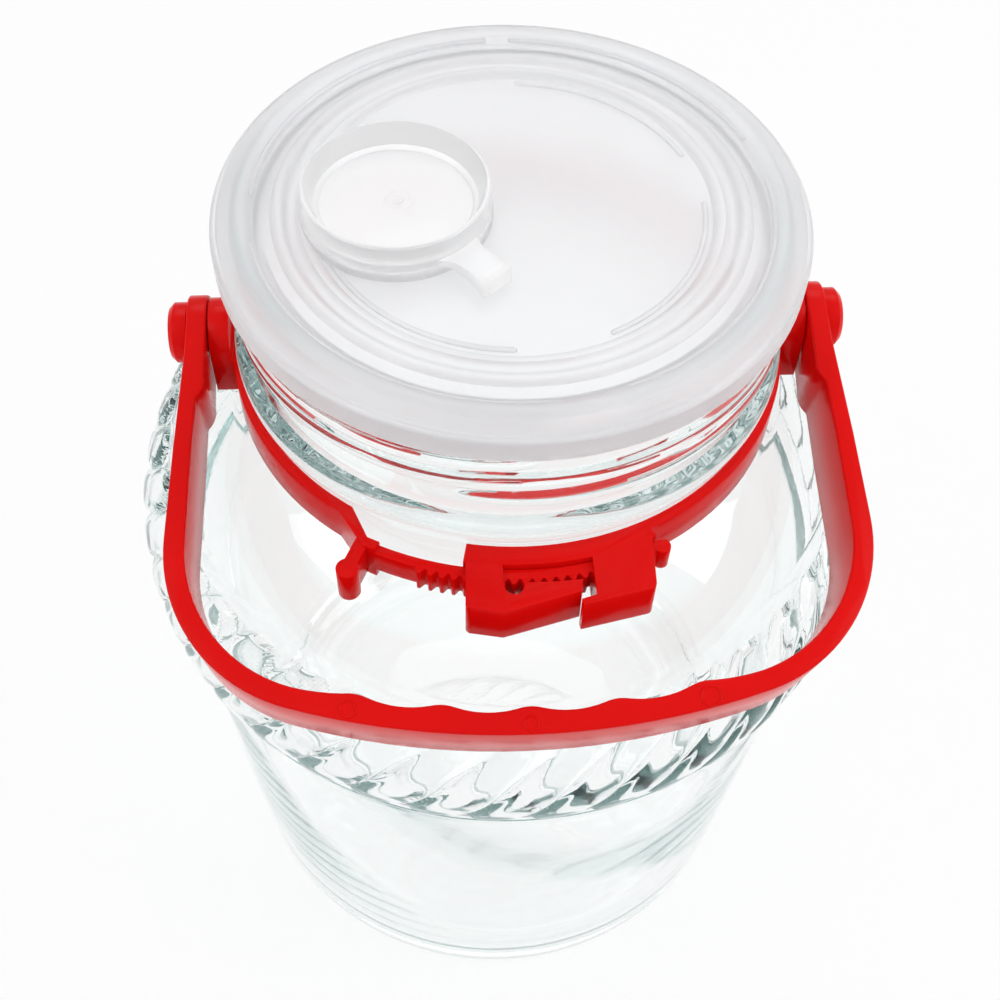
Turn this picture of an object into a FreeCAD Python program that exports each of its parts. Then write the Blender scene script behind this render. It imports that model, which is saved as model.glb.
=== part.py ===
import FreeCAD, Part
import math
import os

from FreeCAD import Placement, Rotation, Vector

# Wide-mouth glass jar with a swinging bail handle.
# Origin: on the jar's axis, on the surface it stands on. +Z up.
# The handle swings about an axis along X and rests towards -Y, the front.
# Angles in plan are measured from the front (-Y), positive towards +X.

# ---- jar -------------------------------------------------------------
BODY_TOP_R, BODY_TOP_Z = 79.5, 126.0    # tapered body, up to the rope band
NECK_R = 54.4                           # under the clamp
WALL = 3.8
BASE_T = 5.5                            # glass at the centre of the base
HEEL_R, HEEL_Z = BODY_TOP_R - 6.9, 8.5  # end of the heel curve
FOOT_OUT_R = HEEL_R - 10.1              # flat standing ring
FOOT_IN_R = FOOT_OUT_R - 5.5
PUSH_UP = 4.0                           # rise of the base at its centre
FOOT_RING_R = BODY_TOP_R + 2.1          # plain ring under the rope band
FOOT_RING_H = 1.6
BAND_R = BODY_TOP_R + 4.5               # crest of the rope band
STRANDS = 40                            # strands of the rope band
STRAND_H = 3.5                          # crest above the valleys
STRAND_LEAN = 0.56                      # degrees of plan per mm of height
BAND_TOP_R, BAND_TOP_Z = BAND_R - 8.7, BODY_TOP_Z + 34.0
SHOULDER_R = (BAND_TOP_R + NECK_R) / 2 + 3.45   # where the shoulder bends
NECK_Z = BAND_TOP_Z + 25.0              # foot of the neck
NECK_GROOVE_TOP = NECK_Z + 7.0          # the clamp sits under this height
BEAD_R = NECK_R + 1.6                   # transfer bead above the clamp
FINISH_R = NECK_R - 1.1                 # outside of the mouth
BORE_R = FINISH_R - WALL                # inside of the mouth
RIM_Z = NECK_Z + 38.0

# ---- lid -------------------------------------------------------------
LID_R = FINISH_R + 3.7
LID_T = 1.3                             # panel
LID_SKIRT = 5.0                         # skirt below the flange's edge
LID_RIDGE_R = LID_R - 5.5               # outer raised ring
PANEL_R = BORE_R - 11.5                 # edge of the recessed panel
PLUG_R = BORE_R - 0.6                   # ring that drops into the mouth
PLUG_DEPTH = 6.0
SEAT_GAP = 0.1                          # between things that rest on each other

# ---- vent cap --------------------------------------------------------
VENT_X, VENT_Y = 16.1 - PANEL_R, -1.2   # centre of the vent in the lid
VENT_R = 17.7                           # outside of the cap
VENT_WALL = 1.5
VENT_H = 7.6                            # cap top above the lid's panel
COLLAR_BORE_R = 12.0                    # hole through the lid
COLLAR_T = 1.2
COLLAR_H = 2.6                          # tube above the panel
TAB_L, TAB_W = 10.6, 6.4                # thumb tab of the cap
TAB_DIR = 41.0                          # its direction in plan

# ---- neck clamp ------------------------------------------------------
STRAP_GAP = 0.4                         # strap clear of the neck
STRAP_T = 2.1
STRAP_Z0, STRAP_Z1 = NECK_Z - 2.7, NECK_Z + 6.0
TAIL_R = NECK_R + 4.8                   # inside of the toothed tail
TAIL_T = 2.0
TAIL_Z0, TAIL_Z1 = NECK_Z - 0.5, NECK_Z + 4.8
TAIL_TIP = 25.5                         # where the tail ends
KINK_FROM, KINK_TO = -36.5, -29.5       # where the strap steps out to the tail
TOOTH_PITCH, TOOTH_H = 2.2, 1.1
TEETH_FROM = -19.5
BUCKLE_FROM, BUCKLE_TO = -11.3, 25.0
BUCKLE_Y = NECK_R + 14.6                # front of the buckle
CHANNEL_GAP = 0.35                      # tail clear of the buckle

# ---- pivot and handle ------------------------------------------------
PIVOT_Z = NECK_Z + 7.5
PIN_R = 4.0
EYE_GAP = 0.08                          # pin clear of the eye
HEAD_R, HEAD_T = 6.2, 3.7
SIDE_GAP = 0.3                          # arm clear of the ear and of the head
EYE_R = 7.5                             # rounded end of the arm
EYE_T = 4.0
ARM_X = NECK_R + 10.8                   # outside of the arm at the eye
HANDLE_HALF_W = ARM_X + 2.5             # half of the handle's width
HANDLE_REACH = BAND_R + 3.2             # pivot axis to the outside of the grip
CORNER_R = 32.5
CORNER_S = HANDLE_REACH - 37.7          # corner centre along the arm
ARM_T, CORNER_T, GRIP_T = 3.5, 4.0, 4.2
BAND_W = 18.5                           # width of the handle's band
FLARE_S = 30.0                          # where the arm has reached that width
FINGER_PITCH, FINGER_H = 16.0, 1.1      # finger rests inside the grip
REST_DROP = 24.7661                     # outside of the grip below the pivot
REST_DEG = math.degrees(math.asin(REST_DROP / HANDLE_REACH))


# ---- helpers ---------------------------------------------------------
def plan(radius, degrees, z=0.0):
    """Point at a radius and at an angle from the front."""
    a = math.radians(degrees)
    return Vector(radius * math.sin(a), -radius * math.cos(a), z)


def wire(start, steps, place):
    """Closed wire: each step is an end point, or (via, end) for an arc."""
    edges, at = [], start
    for step in list(steps) + [start]:
        if isinstance(step[0], tuple):
            via, end = step
            edges.append(Part.Arc(place(at), place(via), place(end)).toShape())
        else:
            end = step
            if end == at:
                continue
            edges.append(Part.LineSegment(place(at), place(end)).toShape())
        at = end
    return Part.Wire(edges)


def revolved(start, steps):
    """Solid of revolution about Z, from (radius, height) points."""
    face = Part.Face(wire(start, steps, lambda p: Vector(p[0], 0, p[1])))
    return face.revolve(Vector(0, 0, 0), Vector(0, 0, 1), 360)


def prism(start, steps, z0, z1):
    """Upright prism, from (x, y) points."""
    face = Part.Face(wire(start, steps, lambda p: Vector(p[0], p[1], z0)))
    return face.extrude(Vector(0, 0, z1 - z0))


def sector(r0, r1, a0, a1, z0, z1):
    """Part of a ring between two radii and two plan angles."""
    def arc(r, start, end):
        return Part.Arc(plan(r, start, z0), plan(r, (start + end) / 2, z0),
                        plan(r, end, z0)).toShape()
    edges = [arc(r0, a0, a1),
             Part.LineSegment(plan(r0, a1, z0), plan(r1, a1, z0)).toShape(),
             arc(r1, a1, a0),
             Part.LineSegment(plan(r1, a0, z0), plan(r0, a0, z0)).toShape()]
    return Part.Face(Part.Wire(edges)).extrude(Vector(0, 0, z1 - z0))


def rod(radius, x0, x1, z):
    """Cylinder along X."""
    return Part.makeCylinder(radius, x1 - x0, Vector(x0, 0, z), Vector(1, 0, 0))


def mirrored(shape):
    return shape.mirror(Vector(0, 0, 0), Vector(1, 0, 0))


# ---- jar -------------------------------------------------------------
def strand_patch(z0, z1, centre_z):
    """One strand of the rope band: a smooth patch between two valleys."""
    pitch = 360.0 / STRANDS
    slope = math.radians(STRAND_LEAN) * BAND_R
    half = math.radians(pitch / 2) * (BAND_R - 2) / math.hypot(1, slope)
    end0, end1 = z0 + 0.80 * half, z1 - 0.98 * half

    def valley(z):
        t = (z - centre_z) / (z1 - centre_z)
        foot = BAND_R - STRAND_H
        drop = foot - BAND_TOP_R - 0.25 if t > 0 else 1.2
        return foot - drop * t * t

    rows = []
    heights = [z0 + (z1 - z0) * f for f in
               (0, 0.14, 0.5, 0.86, 1)]
    for z in heights:
        row = []
        past = max(end0 - z, z - end1, 0.0) / half
        crest = STRAND_H * math.sqrt(1 - past * past)
        for u in (-1.0, -0.5, 0.0, 0.5, 1.0):
            row.append(plan(valley(z) + crest * (1 - u * u),
                            STRAND_LEAN * (z - z0) + pitch / 2 * u, z))
        rows.append(row)
    surface = Part.BSplineSurface()
    surface.interpolate(rows)
    return surface.toShape()


def turned(start, steps):
    """Shell of revolution about Z, from an open line of (radius, height)."""
    edges, at = [], start
    for step in steps:
        via, end = step if isinstance(step[0], tuple) else (None, step)
        a, b = Vector(at[0], 0, at[1]), Vector(end[0], 0, end[1])
        if via:
            edges.append(Part.Arc(a, Vector(via[0], 0, via[1]), b).toShape())
        else:
            edges.append(Part.LineSegment(a, b).toShape())
        at = end
    return Part.Wire(edges).revolve(Vector(0, 0, 0), Vector(0, 0, 1), 360)


def flat_ring(radius, edges, outside):
    """Flat face between a circle and a closed run of edges."""
    loop = Part.Wire(Part.__sortEdges__(edges))
    z = edges[0].Vertexes[0].Point.z
    circle = Part.Wire(Part.makeCircle(radius, Vector(0, 0, z)))
    face = Part.Face([circle, loop] if outside else [loop, circle])
    face.validate()
    return face


def make_jar():
    base_in = PUSH_UP + BASE_T
    ring_top = BODY_TOP_Z + FOOT_RING_H
    band_mid = (ring_top + BAND_TOP_Z) / 2
    finish = RIM_Z - 22
    below = turned((0.0, PUSH_UP), [
        (FOOT_IN_R * 0.35, PUSH_UP),
        ((FOOT_IN_R * 0.74, PUSH_UP * 0.7), (FOOT_IN_R - 1, 0.5)),
        (FOOT_IN_R, 0.0),
        (FOOT_OUT_R, 0.0),
        ((HEEL_R - 2.9, HEEL_Z * 0.33), (HEEL_R, HEEL_Z)),
        (BODY_TOP_R, BODY_TOP_Z - 1.4),
        (FOOT_RING_R, BODY_TOP_Z),
        (FOOT_RING_R, ring_top)])
    above = turned((BAND_TOP_R, BAND_TOP_Z), [
        ((SHOULDER_R, BAND_TOP_Z + 11.0), (NECK_R + 3.2, NECK_Z - 4.0)),
        ((NECK_R + 0.7, NECK_Z - 2.2), (NECK_R, NECK_Z)),
        (NECK_R, NECK_GROOVE_TOP),
        ((BEAD_R, NECK_GROOVE_TOP + 3.5), (FINISH_R, finish - 2)),
        (FINISH_R, RIM_Z - 1.5),
        (FINISH_R - 0.5, RIM_Z - 0.4),
        (FINISH_R - 1.5, RIM_Z),
        (BORE_R + 1.0, RIM_Z),
        (BORE_R, RIM_Z - 1.0),
        (BORE_R, NECK_Z + 4),
        ((BORE_R + 0.9, NECK_Z - 1.5), (NECK_R - 0.4, NECK_Z - 6)),
        ((SHOULDER_R - 0.8 * WALL, BAND_TOP_Z + 9.0),
         (BAND_TOP_R - WALL, BAND_TOP_Z - 1)),
        ((BAND_R - WALL - 1.2, band_mid), (BODY_TOP_R - WALL, BODY_TOP_Z)),
        (HEEL_R - WALL, HEEL_Z + 9),
        ((HEEL_R - WALL - 2.6, HEEL_Z + 2.6), (HEEL_R - WALL - 9, HEEL_Z)),
        (FOOT_IN_R * 0.35, base_in),
        (0.0, base_in)])

    # Rope band: strands side by side on the plain ring.
    patch = strand_patch(ring_top, BAND_TOP_Z, band_mid)
    strands = []
    for i in range(STRANDS):
        copy = patch.copy()
        copy.rotate(Vector(0, 0, 0), Vector(0, 0, 1), i * 360.0 / STRANDS)
        strands.append(copy)

    def ends(z):
        return [e for f in strands for e in f.Edges
                if abs(e.BoundBox.ZMin - z) < 1e-3
                and abs(e.BoundBox.ZMax - z) < 1e-3]
    faces = (below.Faces + above.Faces + strands
             + [flat_ring(FOOT_RING_R, ends(ring_top), True),
                flat_ring(BAND_TOP_R, ends(BAND_TOP_Z), False)])
    shell = Part.makeShell(faces)
    shell.sewShape()
    jar = Part.makeSolid(Part.Shell(shell.Faces))
    if jar.Volume < 0:
        jar.reverse()
    return jar


# ---- lid -------------------------------------------------------------
def make_lid():
    seat = RIM_Z + SEAT_GAP             # underside of the flange
    top = seat + LID_T + 0.6            # recessed panel
    edge = seat + LID_T                 # edge of the flange
    low = edge + 0.3 - LID_SKIRT
    skirt_in = LID_R - 1.5
    steps = [
        (PANEL_R, top),
        ((PANEL_R + 0.9, top + 0.8), (PANEL_R + 2.2, top + 1.1)),
        ((PANEL_R + 3.6, top + 0.5), (PANEL_R + 5.0, top + 1.1)),
        ((PANEL_R + 6.4, top + 1.5), (PANEL_R + 7.6, top + 0.6)),
        (LID_RIDGE_R - 2.8, top + 0.4),
        ((LID_RIDGE_R - 0.4, top + 1.9), (LID_RIDGE_R + 1.8, top + 1.3)),
        (LID_R - 1.2, edge + 0.7),
        ((LID_R - 0.3, edge + 0.35), (LID_R, edge - 0.5)),
        (LID_R, low),
        (skirt_in - 0.9, low),
        (FINISH_R + 0.5, low + 0.8),
        (skirt_in, low + 2.2),
        (skirt_in, seat - 0.4),
        (skirt_in - 0.4, seat),
        (PLUG_R, seat),
        (PLUG_R - 0.3, seat - PLUG_DEPTH + 0.6),
        (PLUG_R - 0.7, seat - PLUG_DEPTH),
        (PLUG_R - 1.7, seat - PLUG_DEPTH),
        (PLUG_R - 1.7, top - LID_T),
        (0.0, top - LID_T),
    ]
    disc = revolved((0.0, top), steps)

    # Collar of the vent: a flange on the panel and a tube that the cap holds.
    tube_r = VENT_R - VENT_WALL - SEAT_GAP
    collar = revolved((COLLAR_BORE_R, top - LID_T), [
        (VENT_R + 0.5, top - LID_T),
        (VENT_R + 0.5, top + 1.2),
        ((VENT_R + 0.35, top + 1.5), (VENT_R, top + 1.6)),
        (tube_r, top + 1.6),
        (tube_r, top + COLLAR_H),
        (tube_r - COLLAR_T, top + COLLAR_H),
        (tube_r - COLLAR_T, top + 0.3),
        (COLLAR_BORE_R, top + 0.3)])
    hole = Part.makeCylinder(COLLAR_BORE_R, 12,
                             Vector(VENT_X, VENT_Y, top - 6))
    collar.Placement = Placement(Vector(VENT_X, VENT_Y, 0), Rotation())
    return disc.fuse(collar).cut(hole).removeSplitter()


# ---- vent cap --------------------------------------------------------
def make_vent_cap():
    panel = RIM_Z + SEAT_GAP + LID_T + 0.6
    low = panel + 1.6 + SEAT_GAP        # foot of the outer wall
    top = panel + VENT_H
    tube_in = VENT_R - VENT_WALL - SEAT_GAP - COLLAR_T
    floor_r = tube_in - SEAT_GAP
    floor = panel + COLLAR_H - 0.7      # underside of the recessed floor
    bridge = panel + COLLAR_H + SEAT_GAP    # sits on top of the tube
    cap = revolved((0.0, floor), [
        (floor_r - 0.4, floor),
        (floor_r, floor + 0.4),
        (floor_r, bridge),
        (VENT_R - VENT_WALL, bridge),
        (VENT_R - VENT_WALL, low),
        (VENT_R - 0.2, low),
        (VENT_R, low + 0.3),
        (VENT_R, top - 0.3),
        (VENT_R - 0.3, top),
        (VENT_R - 0.7, top),
        (VENT_R - 1.0, top - 0.4),
        (floor_r + 0.5, floor + 1.7),
        (floor_r - 0.4, floor + 1.0),
        (0.0, floor + 1.0)])

    # Thumb tab: a wedge with a round nose, thick at its free end.
    root, nose = VENT_R - 0.5, VENT_R + TAB_L
    side = Part.Face(wire((root, low + 0.1), [
        (VENT_R + 1.5, low + 0.1),
        ((VENT_R + 5.5, low - 0.5), (nose - 2.0, panel + 0.4)),
        ((nose - 0.5, panel + 0.5), (nose, panel + 1.2)),
        (nose - 0.7, low + 1.0),
        ((nose - 1.3, low + 2.0), (nose - 2.6, low + 2.3)),
        ((VENT_R + 4.0, low + 1.9), (root, low + 1.4))],
        lambda p: Vector(p[0], -TAB_W, p[1])))
    tab = side.extrude(Vector(0, 2 * TAB_W, 0))
    half, flare = TAB_W / 2, TAB_W / 2 + 1.9
    waist = prism((root, -flare), [
        ((VENT_R + 1.0, -half - 0.6), (VENT_R + 3.5, -half)),
        (nose - 1.0, -half),
        ((nose - 0.3, -half + 0.3), (nose, -half + 1.0)),
        (nose, half - 1.0),
        ((nose - 0.3, half - 0.3), (nose - 1.0, half)),
        (VENT_R + 3.5, half),
        ((VENT_R + 1.0, half + 0.6), (root, flare))], panel, top)
    tab = tab.common(waist)
    tab.Placement = Placement(Vector(0, 0, 0),
                              Rotation(Vector(0, 0, 1), TAB_DIR - 90))
    cap = cap.fuse(tab).removeSplitter()
    cap.Placement = Placement(Vector(VENT_X, VENT_Y, 0), Rotation())
    return cap


# ---- neck clamp ------------------------------------------------------
def make_clamp():
    r0 = NECK_R + STRAP_GAP
    r1 = r0 + STRAP_T
    tail_r1 = TAIL_R + TAIL_T
    mid_z = (STRAP_Z0 + STRAP_Z1) / 2

    # Strap from the buckle round the back to the kink, relieved at its lower
    # inside edge where the glass flares out to the shoulder.
    strap = sector(r0, r1, BUCKLE_TO - 1, 360 + KINK_FROM, STRAP_Z0, STRAP_Z1)
    wall = sector(r0, TAIL_R - CHANNEL_GAP, BUCKLE_FROM, BUCKLE_TO,
                  STRAP_Z0, STRAP_Z1)
    flare = revolved((r0 - 1, STRAP_Z0 - 1), [
        (r0 + 3.0, STRAP_Z0 - 1), (r0 + 1.6, STRAP_Z0 + 0.2), (r0, STRAP_Z0 + 4.0),
        (r0 - 1, STRAP_Z0 + 4.0)])

    # Kink: the strap turns outwards and narrows to the toothed tail.
    def flat(p):
        return (p.x, p.y)
    kink = prism(flat(plan(r0, KINK_FROM - 1)), [
        flat(plan(r1, KINK_FROM - 1)),
        flat(plan(tail_r1, KINK_TO)),
        flat(plan(tail_r1, KINK_TO + 2.5)),
        flat(plan(TAIL_R, KINK_TO + 2.5)),
        flat(plan(TAIL_R, KINK_TO)),
        flat(plan(r0, KINK_FROM + 0.8))], STRAP_Z0, STRAP_Z1)
    tail = sector(TAIL_R, tail_r1, KINK_TO, TAIL_TIP, TAIL_Z0, TAIL_Z1)
    tip = Part.makeCylinder(TAIL_T / 2 + TOOTH_H / 2, TAIL_Z1 - TAIL_Z0,
                            plan(TAIL_R + TAIL_T / 2 + TOOTH_H / 2, TAIL_TIP,
                                 TAIL_Z0))

    # Saw teeth on the outside of the tail.
    step = math.degrees(TOOTH_PITCH / tail_r1)
    teeth = []
    for i in range(int((TAIL_TIP - TEETH_FROM) / step)):
        a = TEETH_FROM + i * step
        teeth.append(prism(flat(plan(tail_r1 - 0.3, a)), [
            flat(plan(tail_r1 + TOOTH_H, a + 0.30 * step)),
            flat(plan(tail_r1 + TOOTH_H, a + 0.55 * step)),
            flat(plan(tail_r1 - 0.3, a + 0.95 * step))], TAIL_Z0, TAIL_Z1))

    # Finger tab with a round end, standing out from the kink.
    root, knob = plan(TAIL_R + 0.6, KINK_TO - 0.6), plan(TAIL_R + 7.5, KINK_TO)
    along = (knob - root).normalize()
    across = Vector(-along.y, along.x, 0) * 1.3
    tab = prism(flat(root + across), [flat(knob + across), flat(knob - across),
                                      flat(root - across)],
                STRAP_Z0 + 0.6, STRAP_Z1 - 0.4)
    end = Part.makeCylinder(2.15, STRAP_Z1 - STRAP_Z0 - 1.0,
                            knob + Vector(0, 0, STRAP_Z0 + 0.6))

    # Buckle: two bridges over the tail, and between them the springy pawl.
    back = TAIL_R - CHANNEL_GAP - 1.5
    pawl_y = tail_r1 + TOOTH_H + CHANNEL_GAP
    left = prism((-11.0, -back + 1.5), [
        (-11.4, -BUCKLE_Y + 2.2),
        ((-11.0, -BUCKLE_Y + 1.4), (-10.2, -BUCKLE_Y + 1.1)),
        (-4.6, -BUCKLE_Y),
        (-4.2, -back)], STRAP_Z0 - 0.2, STRAP_Z1)
    right = prism((12.5, -back), [
        (12.6, -BUCKLE_Y + 3.2),
        (9.8, -BUCKLE_Y + 2.4),
        (10.0, -BUCKLE_Y + 1.2),
        (22.6, -BUCKLE_Y + 4.0),
        ((23.5, -BUCKLE_Y + 4.5), (23.8, -BUCKLE_Y + 5.4)),
        (24.2, -back + 5.0)], STRAP_Z0 - 0.2, STRAP_Z1)
    pawl = prism((-5.0, -pawl_y), [
        (-5.0, -BUCKLE_Y + 0.1),
        (-4.4, -BUCKLE_Y),
        (10.0, -BUCKLE_Y + 4.0),
        (10.3, -pawl_y + 0.3),
        ((2.6, -pawl_y - 0.1), (-1.0, -pawl_y))], STRAP_Z0 - 0.2, STRAP_Z1)
    notch = Part.makeCylinder(1.8, 12, Vector(-2.3, -pawl_y - 0.7, STRAP_Z0 - 1))
    channel = sector(TAIL_R - CHANNEL_GAP, tail_r1 + TOOTH_H + CHANNEL_GAP,
                     BUCKLE_FROM - 3, BUCKLE_TO + 3,
                     TAIL_Z0 - CHANNEL_GAP, TAIL_Z1 + CHANNEL_GAP)
    buckle = left.fuse([right, pawl.cut(notch)]).cut(channel)

    # Ear, pin and head on each side, on the handle's axis.
    ear_x = ARM_X - EYE_T - SIDE_GAP
    outline = wire((-EYE_R + 0.5, STRAP_Z0), [
        (EYE_R - 0.5, STRAP_Z0),
        (EYE_R - 0.5, PIVOT_Z),
        ((0.0, PIVOT_Z + EYE_R - 0.5), (-EYE_R + 0.5, PIVOT_Z))],
        lambda p: Vector(BEAD_R + 0.8, p[0], p[1]))
    ear = Part.Face(outline).extrude(Vector(ear_x - BEAD_R - 0.8, 0, 0))
    foot = Part.makeBox(2.4, 2 * EYE_R - 1, STRAP_Z1 - STRAP_Z0,
                        Vector(r0 + 0.9, -EYE_R + 0.5, STRAP_Z0))
    pin = rod(PIN_R, ear_x - 1, ARM_X + SIDE_GAP + 1, PIVOT_Z)
    head = rod(HEAD_R, ARM_X + SIDE_GAP, ARM_X + SIDE_GAP + HEAD_T, PIVOT_Z)
    head = head.makeChamfer(1.0, [e for e in head.Edges
                                  if e.BoundBox.XMin > ARM_X + HEAD_T - 0.1])
    stud = ear.fuse([foot, pin, head])

    clamp = strap.fuse([wall, kink, tail, tip, tab, end, buckle, stud,
                        mirrored(stud)] + teeth)
    return clamp.cut(flare).removeSplitter()


# ---- handle ----------------------------------------------------------
def tangent_from(point, centre, radius):
    """Point where a line from `point` touches the circle, on its +X side."""
    dx, dy = centre[0] - point[0], centre[1] - point[1]
    length = math.hypot(dx, dy)
    turn = math.asin(radius / length)
    heading = math.atan2(dx, dy) + turn
    reach = math.sqrt(length ** 2 - radius ** 2)
    return (point[0] + reach * math.sin(heading),
            point[1] + reach * math.cos(heading))


def make_handle():
    # Plan of the band: x across, s along the arm from the pivot axis.
    centre = (HANDLE_HALF_W - CORNER_R, CORNER_S)
    drop = HANDLE_REACH - CORNER_S
    grip_r = ((drop ** 2 - CORNER_R ** 2 + centre[0] ** 2)
              / (2 * (drop - CORNER_R)))
    turn = math.asin(centre[0] / (grip_r - CORNER_R))

    def corner(radius, angle):
        return (centre[0] + radius * math.sin(angle),
                centre[1] + radius * math.cos(angle))

    def grip(x, depth):
        radius = grip_r - depth
        return (x, HANDLE_REACH - grip_r + math.sqrt(radius ** 2 - x ** 2))

    inner_r = CORNER_R - CORNER_T
    root_out = (ARM_X, EYE_R + 0.5)
    root_in = (ARM_X - EYE_T, EYE_R + 6.0)
    thin_in = (ARM_X - ARM_T + 0.9, EYE_R + 11.0)
    out_touch = tangent_from(root_out, centre, CORNER_R)
    in_touch = tangent_from(thin_in, centre, inner_r)
    out_mid = corner(CORNER_R, (turn + math.radians(88)) / 2)
    in_mid = corner(inner_r, (turn + math.radians(88)) / 2)

    # Finger rests: small crests with long shallow scoops between them.
    tip_w = 2.3
    crest = GRIP_T + FINGER_H
    low = GRIP_T + FINGER_H * 0.68
    scallops = []
    xs = [FINGER_PITCH * i for i in (2, 1, 0, -1, -2)]
    for i, x in enumerate(xs):
        scallops.append((grip(x, crest), grip(x - tip_w, low)))
        if i < len(xs) - 1:
            scallops.append((grip(x - FINGER_PITCH / 2, GRIP_T),
                             grip(xs[i + 1] + tip_w, low)))

    def mirror(p):
        return (-p[0], p[1])
    start = (ARM_X, -EYE_R - 1)
    end_x = xs[0] + tip_w
    join = corner(inner_r, turn)
    mid_join = grip((end_x + join[0]) / 2 + 1, GRIP_T)
    steps = [
        root_out, out_touch,
        (out_mid, corner(CORNER_R, turn)),
        ((0.0, HANDLE_REACH), mirror(corner(CORNER_R, turn))),
        (mirror(out_mid), mirror(out_touch)),
        mirror(root_out), mirror(start),
        (-(ARM_X - EYE_T), -EYE_R - 1), mirror(root_in),
        ((-(root_in[0] + 0.25), root_in[1] + 3.2), mirror(thin_in)),
        mirror(in_touch),
        (mirror(in_mid), mirror(join)),
        (mirror(mid_join), grip(-end_x, low)),
    ]
    for via, end in reversed(list(zip([s[0] for s in scallops],
                                      [grip(end_x, low)]
                                      + [s[1] for s in scallops[:-1]]))):
        steps.append((via, end))
    steps += [
        (mid_join, join),
        (in_mid, in_touch),
        thin_in,
        ((root_in[0] + 0.25, root_in[1] + 3.2), root_in),
        (ARM_X - EYE_T, -EYE_R - 1),
    ]
    half = BAND_W / 2
    loop = Part.Face(wire(start, steps, lambda p: Vector(p[0], -p[1], -half)))
    band = loop.extrude(Vector(0, 0, BAND_W))

    # Side outline: round eye, flaring to the full width of the band.
    side = Part.Face(wire((0.0, -EYE_R), [
        (FLARE_S, -half), (HANDLE_REACH + 5, -half),
        (HANDLE_REACH + 5, half), (FLARE_S, half), (0.0, EYE_R),
        ((-EYE_R, 0.0), (0.0, -EYE_R))],
        lambda p: Vector(-HANDLE_HALF_W - 5, -p[0], p[1])))
    band = band.common(side.extrude(Vector(2 * HANDLE_HALF_W + 10, 0, 0)))
    bore = rod(PIN_R + EYE_GAP, -ARM_X - 5, ARM_X + 5, 0)
    band = band.cut(bore)
    band.Placement = Placement(Vector(0, 0, PIVOT_Z),
                               Rotation(Vector(1, 0, 0), REST_DEG))
    return band


def main():
    os.makedirs("parts", exist_ok=True)
    nodes = {
        "jar_glass": make_jar,
        "lid": make_lid,
        "vent_cap": make_vent_cap,
        "neck_clamp": make_clamp,
        "handle": make_handle,
    }
    for name, make in nodes.items():
        shape = make()
        print(name, "valid", shape.isValid(), "solids", len(shape.Solids),
              "volume %.0f" % shape.Volume)
        shape.exportStep(os.path.join("parts", name + ".step"))


main()
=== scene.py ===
"""Wide-mouth glass jar with a rope band, a frosted lid with a vent cap, and a
red bail handle on a ratchet neck clamp. Metres, +Z up, front towards -Y.

Lengths in the drawings below are millimetres of the CAD jar, and MM turns
them into metres. Angles in plan are from the front, positive towards +X."""
import math

import bmesh
import bpy
import numpy as np
from mathutils import Matrix, Vector


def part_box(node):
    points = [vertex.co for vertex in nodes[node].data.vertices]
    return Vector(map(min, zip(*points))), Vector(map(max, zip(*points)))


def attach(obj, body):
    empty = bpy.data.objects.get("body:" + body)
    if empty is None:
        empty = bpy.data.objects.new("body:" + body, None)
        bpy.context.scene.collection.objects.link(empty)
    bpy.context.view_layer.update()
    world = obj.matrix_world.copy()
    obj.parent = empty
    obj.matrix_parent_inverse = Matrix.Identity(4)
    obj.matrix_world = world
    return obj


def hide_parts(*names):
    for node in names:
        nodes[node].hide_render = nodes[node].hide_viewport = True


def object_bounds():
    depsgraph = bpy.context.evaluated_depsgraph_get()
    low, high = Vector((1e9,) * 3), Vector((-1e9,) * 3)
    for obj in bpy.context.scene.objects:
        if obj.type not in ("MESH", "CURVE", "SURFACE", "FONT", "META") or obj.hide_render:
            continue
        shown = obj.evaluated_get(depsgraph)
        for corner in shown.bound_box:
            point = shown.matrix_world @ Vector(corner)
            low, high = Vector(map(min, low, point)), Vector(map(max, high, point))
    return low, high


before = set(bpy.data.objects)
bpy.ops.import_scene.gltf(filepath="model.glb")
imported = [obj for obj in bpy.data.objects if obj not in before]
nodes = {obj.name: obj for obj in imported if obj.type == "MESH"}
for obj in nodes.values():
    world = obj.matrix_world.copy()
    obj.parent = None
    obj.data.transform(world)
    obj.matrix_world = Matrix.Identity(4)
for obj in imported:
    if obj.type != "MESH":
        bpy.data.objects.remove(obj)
cad_lo, cad_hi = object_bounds()
scene = bpy.context.scene

RIM_Z = 223.0
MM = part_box("jar_glass")[1].z / RIM_Z
TURN = 2 * math.pi
rng = np.random.default_rng(7)


# ---- small helpers -----------------------------------------------------
def material(name):
    mat = bpy.data.materials.new(name)
    mat.use_nodes = True
    mat.node_tree.nodes.clear()
    return mat


def add(mat, kind, **inputs):
    n = mat.node_tree.nodes.new(kind)
    for key, value in inputs.items():
        n.inputs[key.replace("_", " ")].default_value = value
    return n


def link(mat, a, out, b, into):
    mat.node_tree.links.new(a.outputs[out], b.inputs[into])


def ramp(mat, source, out, stops):
    n = mat.node_tree.nodes.new("ShaderNodeValToRGB")
    els = n.color_ramp.elements
    while len(els) < len(stops):
        els.new(0.5)
    for el, (at, colour) in zip(els, stops):
        el.position = at
        el.color = (*colour, 1) if len(colour) == 3 else colour
    link(mat, source, out, n, "Fac")
    return n


def noise(mat, scale, detail=3.0, rough=0.5, distortion=0.0):
    coord = mat.node_tree.nodes.new("ShaderNodeTexCoord")
    n = add(mat, "ShaderNodeTexNoise", Scale=scale, Detail=detail,
            Roughness=rough, Distortion=distortion)
    link(mat, coord, "Object", n, "Vector")
    return n


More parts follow.
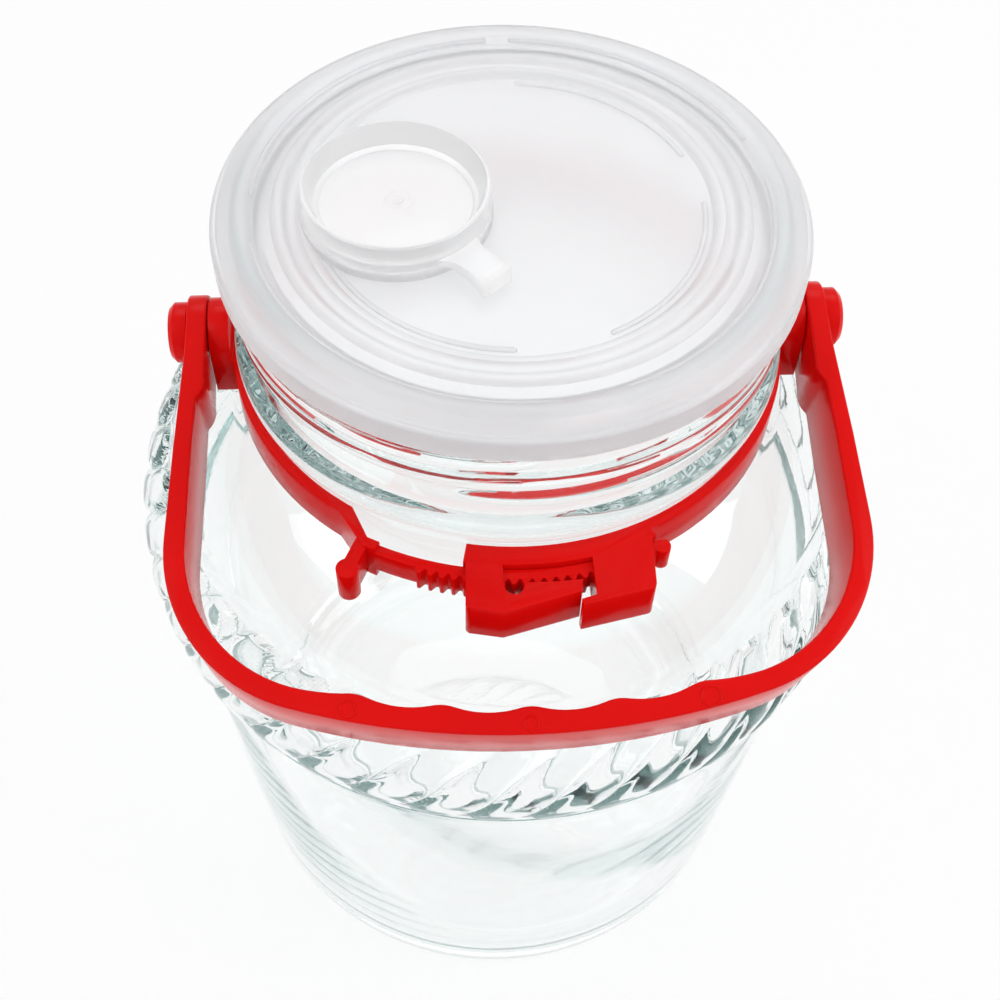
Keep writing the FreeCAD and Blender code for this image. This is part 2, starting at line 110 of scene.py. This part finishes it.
def bump(mat, source, out, strength, distance, after=None):
    n = add(mat, "ShaderNodeBump", Strength=strength, Distance=distance)
    link(mat, source, out, n, "Height")
    if after is not None:
        link(mat, after, "Normal", n, "Normal")
    return n


def clear_to_shadows(mat, body, tone):
    """The shader, see-through to shadow rays, so that its shadow is light."""
    clear = add(mat, "ShaderNodeBsdfTransparent", Color=(*tone, 1))
    path = mat.node_tree.nodes.new("ShaderNodeLightPath")
    mix = mat.node_tree.nodes.new("ShaderNodeMixShader")
    link(mat, path, "Is Shadow Ray", mix, 0)
    link(mat, body, 0, mix, 1)
    link(mat, clear, 0, mix, 2)
    return mix


def spread(mat, source, out, low, high):
    """A noise spread over a range of values."""
    n = mat.node_tree.nodes.new("ShaderNodeMapRange")
    n.inputs["To Min"].default_value = low
    n.inputs["To Max"].default_value = high
    link(mat, source, out, n, "Value")
    return n


def surface(mat, shader):
    out = mat.node_tree.nodes.new("ShaderNodeOutputMaterial")
    link(mat, shader, 0, out, "Surface")
    return out


def arc(p0, via, p1, n):
    """n points of the circular arc after p0, up to p1."""
    (ax, ay), (bx, by), (cx, cy) = p0, via, p1
    d = 2 * (ax * (by - cy) + bx * (cy - ay) + cx * (ay - by))
    if abs(d) < 1e-9:
        return [(ax + (cx - ax) * i / n, ay + (cy - ay) * i / n)
                for i in range(1, n + 1)]
    ux = ((ax ** 2 + ay ** 2) * (by - cy) + (bx ** 2 + by ** 2) * (cy - ay)
          + (cx ** 2 + cy ** 2) * (ay - by)) / d
    uy = ((ax ** 2 + ay ** 2) * (cx - bx) + (bx ** 2 + by ** 2) * (ax - cx)
          + (cx ** 2 + cy ** 2) * (bx - ax)) / d
    r = math.hypot(ax - ux, ay - uy)
    t0, t1, t2 = (math.atan2(y - uy, x - ux)
                  for x, y in ((ax, ay), (bx, by), (cx, cy)))
    turn = (t2 - t0) % TURN
    if (t1 - t0) % TURN > turn:
        turn -= TURN
    return [(ux + r * math.cos(t0 + turn * i / n),
             uy + r * math.sin(t0 + turn * i / n)) for i in range(1, n + 1)]


def profile(start, steps):
    """Points from (end, count) lines and (via, end, count) arcs."""
    pts = [start]
    for step in steps:
        if len(step) == 2:
            end, n = step
            a = pts[-1]
            pts += [(a[0] + (end[0] - a[0]) * i / n,
                     a[1] + (end[1] - a[1]) * i / n) for i in range(1, n + 1)]
        else:
            pts += arc(pts[-1], *step)
    return pts


def obj_from(name, verts, faces, mat, sharp=35.0):
    mesh = bpy.data.meshes.new(name)
    mesh.from_pydata([tuple(v) for v in verts], [], faces)
    mesh.update()
    mesh.polygons.foreach_set("use_smooth", [True] * len(mesh.polygons))
    mesh.set_sharp_from_angle(angle=math.radians(sharp))
    ob = bpy.data.objects.new(name, mesh)
    scene.collection.objects.link(ob)
    mesh.materials.append(mat)
    return ob


def signed_volume(ob):
    bm = bmesh.new()
    bm.from_mesh(ob.data)
    volume = bm.calc_volume(signed=True)
    bm.free()
    return volume


def shell(rings):
    """Closed surface from rings of (radius, height, turn) arrays, in drawing
    units; a ring may have half or twice the points of the one before it."""
    verts, faces, starts = [], [], []
    for r, z, t in rings:
        starts.append(len(verts))
        a = np.asarray(t)
        verts += list(np.stack([r * np.sin(a), -r * np.cos(a),
                                np.broadcast_to(z, a.shape)], 1) * MM)
    for k in range(len(rings) - 1):
        n, m = len(rings[k][2]), len(rings[k + 1][2])
        a, b = starts[k], starts[k + 1]
        if n == m:
            for i in range(n):
                j = (i + 1) % n
                faces.append((a + i, a + j, b + j, b + i))
        elif m == 2 * n:
            for i in range(n):
                j = (i + 1) % n
                p, q, s = b + 2 * i, b + 2 * i + 1, b + (2 * i + 2) % m
                faces += [(a + i, q, p), (a + i, a + j, q), (a + j, s, q)]
        else:
            for i in range(m):
                j = (i + 1) % m
                p, q, s = a + 2 * i, a + 2 * i + 1, a + (2 * i + 2) % n
                faces += [(p, q, b + i), (q, b + j, b + i), (q, s, b + j)]
    for k, flip in ((0, False), (len(rings) - 1, True)):
        r, z, t = rings[k]
        c = len(verts)
        verts.append(np.array([0, 0, float(np.mean(z)) * MM]))
        n = len(t)
        for i in range(n):
            j = (i + 1) % n
            f = (starts[k] + i, c, starts[k] + j)
            faces.append(f[::-1] if flip else f)
    return verts, faces


# ---- materials ---------------------------------------------------------
def glass_material():
    mat = material("clear_glass")
    body = add(mat, "ShaderNodeBsdfPrincipled", Roughness=0.0, IOR=1.5)
    body.inputs["Base Color"].default_value = (0.993, 0.998, 0.997, 1)
    body.inputs["Transmission Weight"].default_value = 1.0
    body.inputs["Specular IOR Level"].default_value = 0.5
    wave = noise(mat, 42.0, 1.5, 0.4)
    fine = noise(mat, 420.0, 2.0, 0.5)
    b1 = bump(mat, wave, "Fac", 0.10, 0.0012)
    b2 = bump(mat, fine, "Fac", 0.05, 0.00008, after=b1)
    link(mat, b2, "Normal", body, "Normal")
    mix = clear_to_shadows(mat, body, (0.90, 0.93, 0.925))
    tint = add(mat, "ShaderNodeVolumeAbsorption", Density=10.0)
    tint.inputs["Color"].default_value = (0.50, 0.66, 0.65, 1)
    link(mat, tint, 0, surface(mat, mix), "Volume")
    return mat


def frosted_material(name, through, rough, tone):
    """Natural polyethylene: milky, soft gloss, faint flow marks."""
    mat = material(name)
    body = add(mat, "ShaderNodeBsdfPrincipled", IOR=1.5)
    body.inputs["Transmission Weight"].default_value = through
    flow = noise(mat, 60.0, 4.0, 0.55, 0.6)
    shade = ramp(mat, flow, "Fac", [(0.3, tone), (0.7, tuple(
        min(1.0, c * 1.02) for c in tone))])
    link(mat, shade, "Color", body, "Base Color")
    grain = noise(mat, 900.0, 3.0, 0.6)
    gloss = spread(mat, grain, "Fac", rough - 0.05, rough + 0.06)
    link(mat, gloss, "Result", body, "Roughness")
    b1 = bump(mat, grain, "Fac", 0.03, 0.00002)
    b2 = bump(mat, flow, "Fac", 0.05, 0.0004, after=b1)
    link(mat, b2, "Normal", body, "Normal")
    surface(mat, clear_to_shadows(mat, body, (0.80, 0.80, 0.80)))
    return mat


def red_material():
    """Glossy red moulded plastic with a soft moulded skin and light scuffs."""
    mat = material("red_plastic")
    body = add(mat, "ShaderNodeBsdfPrincipled", IOR=1.5)
    body.inputs["Specular IOR Level"].default_value = 0.09
    cloud = noise(mat, 35.0, 3.0, 0.5)
    shade = ramp(mat, cloud, "Fac", [(0.3, (0.72, 0.0030, 0.0026)),
                                     (0.7, (0.80, 0.0042, 0.0034))])
    link(mat, shade, "Color", body, "Base Color")
    skin = noise(mat, 1100.0, 3.0, 0.6)
    gloss = spread(mat, cloud, "Fac", 0.14, 0.26)
    link(mat, gloss, "Result", body, "Roughness")
    b1 = bump(mat, skin, "Fac", 0.10, 0.00005)
    b2 = bump(mat, cloud, "Fac", 0.12, 0.0008, after=b1)
    link(mat, b2, "Normal", body, "Normal")
    surface(mat, body)
    return mat


GLASS = glass_material()
LID = frosted_material("frosted_lid", 0.72, 0.34, (0.885, 0.885, 0.897))
CAP = frosted_material("frosted_cap", 0.66, 0.34, (0.95, 0.95, 0.955))
RED = red_material()


# ---- glass jar ---------------------------------------------------------
STRANDS, PER_STRAND = 40, 16
BAND_Z0, BAND_Z1 = 127.6, 160.0
SLANT = math.radians(0.72)              # turn of a strand per unit of height
STRAND_R = 82.0                         # where its width is measured
STRAND_RISE = 1.45                      # crest above the valley
BENDING = 0.075                         # how far the S of a strand swings
CROWDING = 0.55                         # how much closer points are at valleys


def lean(z):
    """Turn of a strand's centre line at a height: a gentle S."""
    t = (z - BAND_Z0) / (BAND_Z1 - BAND_Z0)
    return SLANT * (BAND_Z1 - BAND_Z0) * (t + BENDING * math.sin(TURN * t))


def strand_rings():
    """Rings of the rope band: at each height, how far every point is from the
    centre line of its strand sets how high it stands over the valley."""
    pitch = TURN / STRANDS
    half = 0.5 * pitch * STRAND_R * math.cos(math.atan(SLANT * STRAND_R))
    za, zb = BAND_Z0 + 4.0, BAND_Z1 - 3.6
    line_z = np.linspace(za, zb, 40)
    line_x = np.array([lean(z) for z in line_z]) * STRAND_R
    valley = [(80.7, BAND_Z0)] + arc((80.7, BAND_Z0), (82.40, 142.0),
                                     (75.1, BAND_Z1), 60)
    vr = np.array([p[0] for p in valley])
    vz = np.array([p[1] for p in valley])
    heights = np.concatenate([
        [BAND_Z0 + 0.05], np.linspace(BAND_Z0 + 0.5, BAND_Z0 + 6, 9),
        np.linspace(BAND_Z0 + 7.2, BAND_Z1 - 6.5, 15),
        np.linspace(BAND_Z1 - 5.6, BAND_Z1 - 0.3, 8)])
    rings = []
    share = np.arange(PER_STRAND) / PER_STRAND
    share = share + CROWDING * np.sin(TURN * share) / TURN
    around = (np.arange(STRANDS)[:, None] + share[None, :]).ravel() * pitch
    for z in heights:
        turn = lean(z) + share * pitch
        best = np.full(PER_STRAND, 1e9)
        for k in range(-3, 4):
            dx = turn[:, None] * STRAND_R - (line_x + k * pitch * STRAND_R)
            d = np.sqrt(dx ** 2 + (z - line_z) ** 2).min(1)
            best = np.minimum(best, d)
        u = np.clip(best / (half * 1.03), 0, 1)
        rise = np.sqrt(np.clip(1 - u ** 3.6, 0, 1))
        r = np.interp(z, vz, vr) + STRAND_RISE * rise
        rings.append((np.tile(r, STRANDS), z, lean(z) + around))
    return rings


THREAD_PITCH = 4.9
THREAD_START, THREAD_END = math.radians(-14.0), math.radians(722.0)
THREAD_Z = 204.2
THREAD_W, THREAD_H = 2.25, 1.45         # half width and height of the ridge
THREAD_FADE = math.radians(26)          # turn over which an end runs out
FINISH_R = 53.3


def thread(z, turn):
    """Height of the thread ridge at a height and an array of turns."""
    rise = np.zeros_like(turn)
    span = THREAD_END - THREAD_START
    for k in range(-1, 4):
        t = (turn + math.pi) % TURN - math.pi + k * TURN - THREAD_START
        inside = (t >= 0) & (t <= span)
        tt = np.clip(t, 0, span)
        run = np.minimum(tt, span - tt) / THREAD_FADE
        ends = np.sqrt(np.clip(1 - (1 - np.clip(run, 0, 1)) ** 2, 0, 1))
        zc = THREAD_Z + THREAD_PITCH * tt / TURN
        width = THREAD_W * (0.25 + 0.75 * ends)
        u = np.clip(np.abs(z - zc) / width, 0, 1)
        bead = np.sqrt(np.clip(1 - u ** 2, 0, 1))
        rise = np.maximum(rise, inside * bead * THREAD_H * ends)
    return rise


def make_glass():
    n1 = STRANDS * PER_STRAND // 2
    a1 = np.arange(n1) * TURN / n1
    a0 = np.arange(n1 // 2) * TURN / (n1 // 2)
    rings = []

    def put(points, angles, skip=1):
        for r, z in points[skip:]:
            rings.append((np.full(len(angles), r), z, angles))

    foot = profile((3.0, 4.0), [
        ((20.0, 4.0), 3), ((40.5, 3.1), (55.2, 0.9), 10),
        ((59.8, 0.0), (64.4, 0.75), 8), ((69.9, 3.6), (72.6, 8.5), 10)])
    put(foot, a0, 0)
    wall = profile((72.6, 8.5), [
        ((79.4, 123.6), 22), ((79.7, 125.2), (80.6, 125.9), 4),
        ((81.35, 126.1), (81.6, 126.5), 3), ((81.6, 127.1), 1),
        ((81.5, 127.5), (81.2, BAND_Z0), 2)])
    put(wall, a1)
    rings.extend(strand_rings())
    top = lean(BAND_Z1)
    above = profile((75.1, BAND_Z1), [
        ((68.3, 171.0), (57.6, 181.0), 16), ((55.1, 182.8), (54.4, 185.0), 6),
        ((54.4, 192.0), 4), ((56.0, 195.5), (53.3, 199.0), 12)])
    put(above, a1 + top, 0)
    # Threaded finish: the ridge is added row by row.
    for z in np.arange(199.6, 219.0, 0.42):
        turn = a1 + top
        rings.append((FINISH_R + thread(z, turn), z, turn))
    rim = profile((FINISH_R, 219.4), [
        ((FINISH_R, 221.5), 2), ((52.9, 222.6), (51.8, 223.0), 5),
        ((50.5, 223.0), 1), ((49.75, 222.75), (49.5, 222.0), 4)])
    put(rim, a1 + top, 0)
    inner = profile((49.5, 222.0), [
        ((49.5, 189.0), 14), ((50.4, 183.5), (54.0, 179.0), 9),
        ((65.26, 169.0), (71.5, 159.0), 12),
        ((79.0, 143.8), (75.7, 126.0), 14),
        ((68.8, 17.5), 26), ((66.2, 11.1), (59.8, 8.5), 12),
        ((30.0, 9.2), (3.0, 9.5), 8)])
    # The inside of pressed glass is never quite even.
    amp = rng.uniform(0.02, 0.075, 9)
    fa = rng.integers(2, 9, 9)
    fz = rng.uniform(0.01, 0.05, 9)
    ph = rng.uniform(0, TURN, 9)
    for r, z in inner[1:]:
        wobble = sum(a * np.sin(f * a0 + g * z * 2 + p)
                     for a, f, g, p in zip(amp, fa, fz, ph))
        fade = min(1.0, r / 40.0) * (1.0 if z < 185 else 0.25)
        rings.append((r + wobble * fade, z, a0))
    verts, faces = shell(rings)
    glass = obj_from("glass_jar", verts, faces, GLASS, 50)
    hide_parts("jar_glass")
    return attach(glass, "jar")


make_glass()

# ---- lid and vent cap: the CAD solids with their finishes ------------------
for name, mat in (("lid", LID), ("vent_cap", CAP)):
    mesh = nodes[name].data
    for i in range(len(mesh.materials)):
        mesh.materials[i] = mat


# ---- red parts: the CAD solids with their edges eased ----------------------
def eased(name, node, body, width, segments=2):
    """The CAD node's shape with its hard edges rounded as moulded ones are."""
    bm = bmesh.new()
    bm.from_mesh(nodes[node].data)
    bmesh.ops.remove_doubles(bm, verts=bm.verts, dist=2e-6)
    bmesh.ops.dissolve_limit(bm, angle_limit=math.radians(0.4),
                             verts=bm.verts, edges=bm.edges,
                             delimit={"NORMAL"})
    mesh = bpy.data.meshes.new(name)
    bm.to_mesh(mesh)
    bm.free()
    ob = bpy.data.objects.new(name, mesh)
    scene.collection.objects.link(ob)
    mesh.materials.append(RED)
    mesh.polygons.foreach_set("use_smooth", [True] * len(mesh.polygons))
    ease = ob.modifiers.new("ease", "BEVEL")
    ease.width = width * MM
    ease.segments = segments
    ease.limit_method = "ANGLE"
    ease.angle_limit = math.radians(32)
    ease.use_clamp_overlap = True
    ease.harden_normals = False
    ease.miter_outer = "MITER_ARC"
    dg = bpy.context.evaluated_depsgraph_get()
    done = bpy.data.meshes.new_from_object(ob.evaluated_get(dg))
    ob.modifiers.clear()
    ob.data = done
    done.set_sharp_from_angle(angle=math.radians(40))
    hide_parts(node)
    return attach(ob, body)


eased("clamp_band", "neck_clamp", "jar", 0.22)
eased("bail_handle", "handle", "handle", 0.45, 3)


# ---- lid ribs and marks ----------------------------------------------------
def bead(name, path, width, height, mat, sides=10, end=4):
    """Half-round bead along points with up vectors; its ends are rounded."""
    verts, faces = [], []
    n = len(path)
    total = [0.0]
    for i in range(1, n):
        total.append(total[-1] + (path[i][0] - path[i - 1][0]).length)
    for i, (p, up) in enumerate(path):
        a, b = path[max(0, i - 1)][0], path[min(n - 1, i + 1)][0]
        along = (b - a).normalized()
        side = along.cross(up).normalized()
        reach = min(total[i], total[-1] - total[i]) / (width * 0.5)
        k = math.sqrt(max(0.0, 1 - (1 - min(1.0, reach)) ** 2))
        k = max(k, 0.12)
        for j in range(sides):
            t = TURN * j / sides
            off = (side * (0.5 * width * k * math.cos(t))
                   + up * (height * k * math.sin(t)))
            verts.append(p + off)
    for i in range(n - 1):
        for j in range(sides):
            q = (j + 1) % sides
            faces.append((i * sides + j, i * sides + q,
                          (i + 1) * sides + q, (i + 1) * sides + j))
    faces.append(tuple(range(sides - 1, -1, -1)))
    faces.append(tuple((n - 1) * sides + j for j in range(sides)))
    ob = obj_from(name, verts, faces, mat, 60)
    if signed_volume(ob) < 0:
        ob.data.flip_normals()
    return ob


def ring_path(radius, z, a0, a1, step=1.5):
    n = max(6, int(abs(a1 - a0) / step))
    ease = [0, 0.15, 0.4, 0.7]
    marks = [e / n for e in ease] + [i / n for i in range(1, n)] \
        + [1 - e / n for e in reversed(ease)]
    out = []
    for f in marks:
        a = math.radians(a0 + (a1 - a0) * f)
        out.append((Vector((radius * math.sin(a), -radius * math.cos(a), z))
                    * MM, Vector((0, 0, 1))))
    return out


PANEL_Z = RIM_Z + 2.0
OUTER_RIBS = (-177, -93), (-79, 4), (20, 96), (109, 178)
INNER_RIBS = (-72, -2), (25, 90), (111, 176)
RIB_W = 1.1
for name, radius, z, height, spans in (
        ("outer", 49.6, PANEL_Z + 0.95, 0.62, OUTER_RIBS),
        ("inner", 36.6, PANEL_Z - 0.02, 0.55, INNER_RIBS)):
    for k, (a0, a1) in enumerate(spans):
        rib = bead(f"lid_rib_{name}_{k}", ring_path(radius, z, a0, a1),
                   RIB_W * MM, height * MM, LID)
        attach(rib, "jar")


# ---- marks the moulds leave ------------------------------------------------
def mark(name, centre, up, radius, width, height, mat, count=32, sides=8):
    """Low ring standing on a face."""
    up = Vector(up).normalized()
    u = up.orthogonal().normalized()
    v = up.cross(u)
    verts, faces = [], []
    for i in range(count):
        a = TURN * i / count
        out = u * math.cos(a) + v * math.sin(a)
        for j in range(sides):
            b = TURN * j / sides
            verts.append((Vector(centre) + out * (radius + 0.5 * width
                          * math.cos(b)) + up * height * math.sin(b)) * MM)
            p, q = (i + 1) % count, (j + 1) % sides
            faces.append((i * sides + j, p * sides + j,
                          p * sides + q, i * sides + q))
    ob = obj_from(name, verts, faces, mat, 80)
    if signed_volume(ob) < 0:
        ob.data.flip_normals()
    return ob


CAP_DEPTH = 4.7
CAP_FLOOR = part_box("vent_cap")[1].z / MM - CAP_DEPTH
GATE_AT = (-21.5, -0.9, CAP_FLOOR)
GATE_RINGS = (0.75, 0.5, 0.16), (2.6, 0.3, 0.06)   # radius, width, height
for k, (radius, width, height) in enumerate(GATE_RINGS):
    gate = mark(f"cap_gate_mark_{k}", GATE_AT, (0, 0, 1),
                radius, width, height, CAP)
    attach(gate, "jar")

PIVOT_Z, REST = 192.5, math.radians(16.5)
HALF_W = 9.25                           # half the width of the handle's band


def on_grip(x, s):
    """Place on the grip's upper edge, s from the pivot axis."""
    return (x, -s * math.cos(REST) - HALF_W * math.sin(REST),
            PIVOT_Z - s * math.sin(REST) + HALF_W * math.cos(REST))


UP_EDGE = (0, -math.sin(REST), math.cos(REST))
PINS = (33.3, 81.3, 1.85), (0.0, 85.2, 1.35), (-33.3, 81.3, 1.5)
for k, (x, s, radius) in enumerate(PINS):
    pin = mark(f"ejector_mark_{k}", on_grip(x, s), UP_EDGE,
               radius, 0.45, 0.18, RED)
    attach(pin, "handle")


# ---- stage, light and camera ----------------------------------------------
def make_stage():
    size = 3.0
    floor = obj_from("floor", [(-size, -size, 0), (size, -size, 0),
                               (size, size, 0), (-size, size, 0)],
                     [(0, 1, 2, 3)], material("floor_white"))
    mat = floor.data.materials[0]
    diffuse = add(mat, "ShaderNodeBsdfDiffuse")
    diffuse.inputs["Color"].default_value = (0.99, 0.99, 0.99, 1)
    white = add(mat, "ShaderNodeEmission", Strength=1.0)
    path = mat.node_tree.nodes.new("ShaderNodeLightPath")
    seen = mat.node_tree.nodes.new("ShaderNodeMath")
    seen.operation = "MAXIMUM"
    link(mat, path, "Is Camera Ray", seen, 0)
    link(mat, path, "Is Glossy Ray", seen, 1)
    seen2 = mat.node_tree.nodes.new("ShaderNodeMath")
    seen2.operation = "MAXIMUM"
    link(mat, seen, 0, seen2, 0)
    link(mat, path, "Is Transmission Ray", seen2, 1)
    part = mat.node_tree.nodes.new("ShaderNodeMath")
    part.operation = "MULTIPLY"
    part.inputs[1].default_value = 0.76
    link(mat, seen2, 0, part, 0)
    mix = mat.node_tree.nodes.new("ShaderNodeMixShader")
    link(mat, part, 0, mix, 0)
    link(mat, diffuse, 0, mix, 1)
    link(mat, white, 0, mix, 2)
    surface(mat, mix)
    floor.location.z = cad_lo.z - 0.00002


def make_world():
    world = bpy.data.worlds.new("studio")
    scene.world = world
    world.use_nodes = True
    nt = world.node_tree
    nt.nodes.clear()
    coord = nt.nodes.new("ShaderNodeTexCoord")
    split = nt.nodes.new("ShaderNodeSeparateXYZ")
    nt.links.new(coord.outputs["Generated"], split.inputs[0])
    tones = nt.nodes.new("ShaderNodeValToRGB")
    els = tones.color_ramp.elements
    # From straight down (0) over the horizon (0.5) to straight up (1).
    stops = [(0.0, 1.0), (0.47, 0.97), (0.52, 0.62), (0.60, 0.52),
             (0.74, 0.90), (0.88, 1.0)]
    while len(els) < len(stops):
        els.new(0.5)
    for el, (at, v) in zip(els, stops):
        el.position = at
        el.color = (v, v, v, 1)
    half = nt.nodes.new("ShaderNodeMapRange")
    half.inputs["From Min"].default_value = -1
    nt.links.new(split.outputs["Z"], half.inputs["Value"])
    nt.links.new(half.outputs["Result"], tones.inputs["Fac"])
    room = nt.nodes.new("ShaderNodeBackground")
    nt.links.new(tones.outputs["Color"], room.inputs["Color"])
    soft = nt.nodes.new("ShaderNodeBackground")
    soft.inputs["Color"].default_value = (1, 1, 1, 1)
    soft.inputs["Strength"].default_value = 0.60
    path = nt.nodes.new("ShaderNodeLightPath")
    one = nt.nodes.new("ShaderNodeMath")
    one.operation = "MAXIMUM"
    nt.links.new(path.outputs["Is Glossy Ray"], one.inputs[0])
    nt.links.new(path.outputs["Is Transmission Ray"], one.inputs[1])
    mix = nt.nodes.new("ShaderNodeMixShader")
    nt.links.new(one.outputs[0], mix.inputs[0])
    nt.links.new(soft.outputs[0], mix.inputs[1])
    nt.links.new(room.outputs[0], mix.inputs[2])
    plain = nt.nodes.new("ShaderNodeBackground")
    plain.inputs["Color"].default_value = (1, 1, 1, 1)
    mix2 = nt.nodes.new("ShaderNodeMixShader")
    nt.links.new(path.outputs["Is Camera Ray"], mix2.inputs[0])
    nt.links.new(mix.outputs[0], mix2.inputs[1])
    nt.links.new(plain.outputs[0], mix2.inputs[2])
    out = nt.nodes.new("ShaderNodeOutputWorld")
    nt.links.new(mix2.outputs[0], out.inputs["Surface"])


def lamp(name, place, aim, size, watts):
    data = bpy.data.lights.new(name, "AREA")
    data.shape = "RECTANGLE"
    data.size, data.size_y = size
    data.energy = watts
    ob = bpy.data.objects.new(name, data)
    scene.collection.objects.link(ob)
    ob.location = place
    ob.rotation_euler = (Vector(aim) - Vector(place)).to_track_quat(
        "-Z", "Y").to_euler()
    return ob


def make_camera():
    eye = Vector((-0.01683, -0.20036, 0.40659)) * (MM / 0.001)
    ahead = Vector((0.0483, 0.5865, -0.8085)).normalized()
    side = ahead.cross(Vector((0, 0, 1))).normalized()
    top = side.cross(ahead)
    roll = math.radians(2.07)
    x = side * math.cos(roll) + top * math.sin(roll)
    y = top * math.cos(roll) - side * math.sin(roll)
    data = bpy.data.cameras.new("camera")
    data.lens, data.sensor_width = 50.4, 36.0
    data.clip_start = 0.01
    cam = bpy.data.objects.new("camera", data)
    scene.collection.objects.link(cam)
    turn = Matrix((x, y, -ahead)).transposed()
    cam.matrix_world = Matrix.Translation(eye) @ turn.to_4x4()
    scene.camera = cam


make_camera()
make_stage()
make_world()
lamp("key_left", (-0.75, -0.35, 0.95), (0, 0, 0.12), (0.7, 0.7), 2.7)
lamp("key_right", (0.85, -0.25, 0.75), (0, 0, 0.12), (0.5, 0.9), 3.4)
lamp("top_back", (0.1, 0.7, 1.1), (0, 0, 0.15), (0.9, 0.5), 2.6)
scene.view_settings.view_transform = "Standard"
# Light runs far along the inside of the glass wall.
scene.cycles.max_bounces = 64
scene.cycles.transmission_bounces = 64
scene.cycles.glossy_bounces = 64
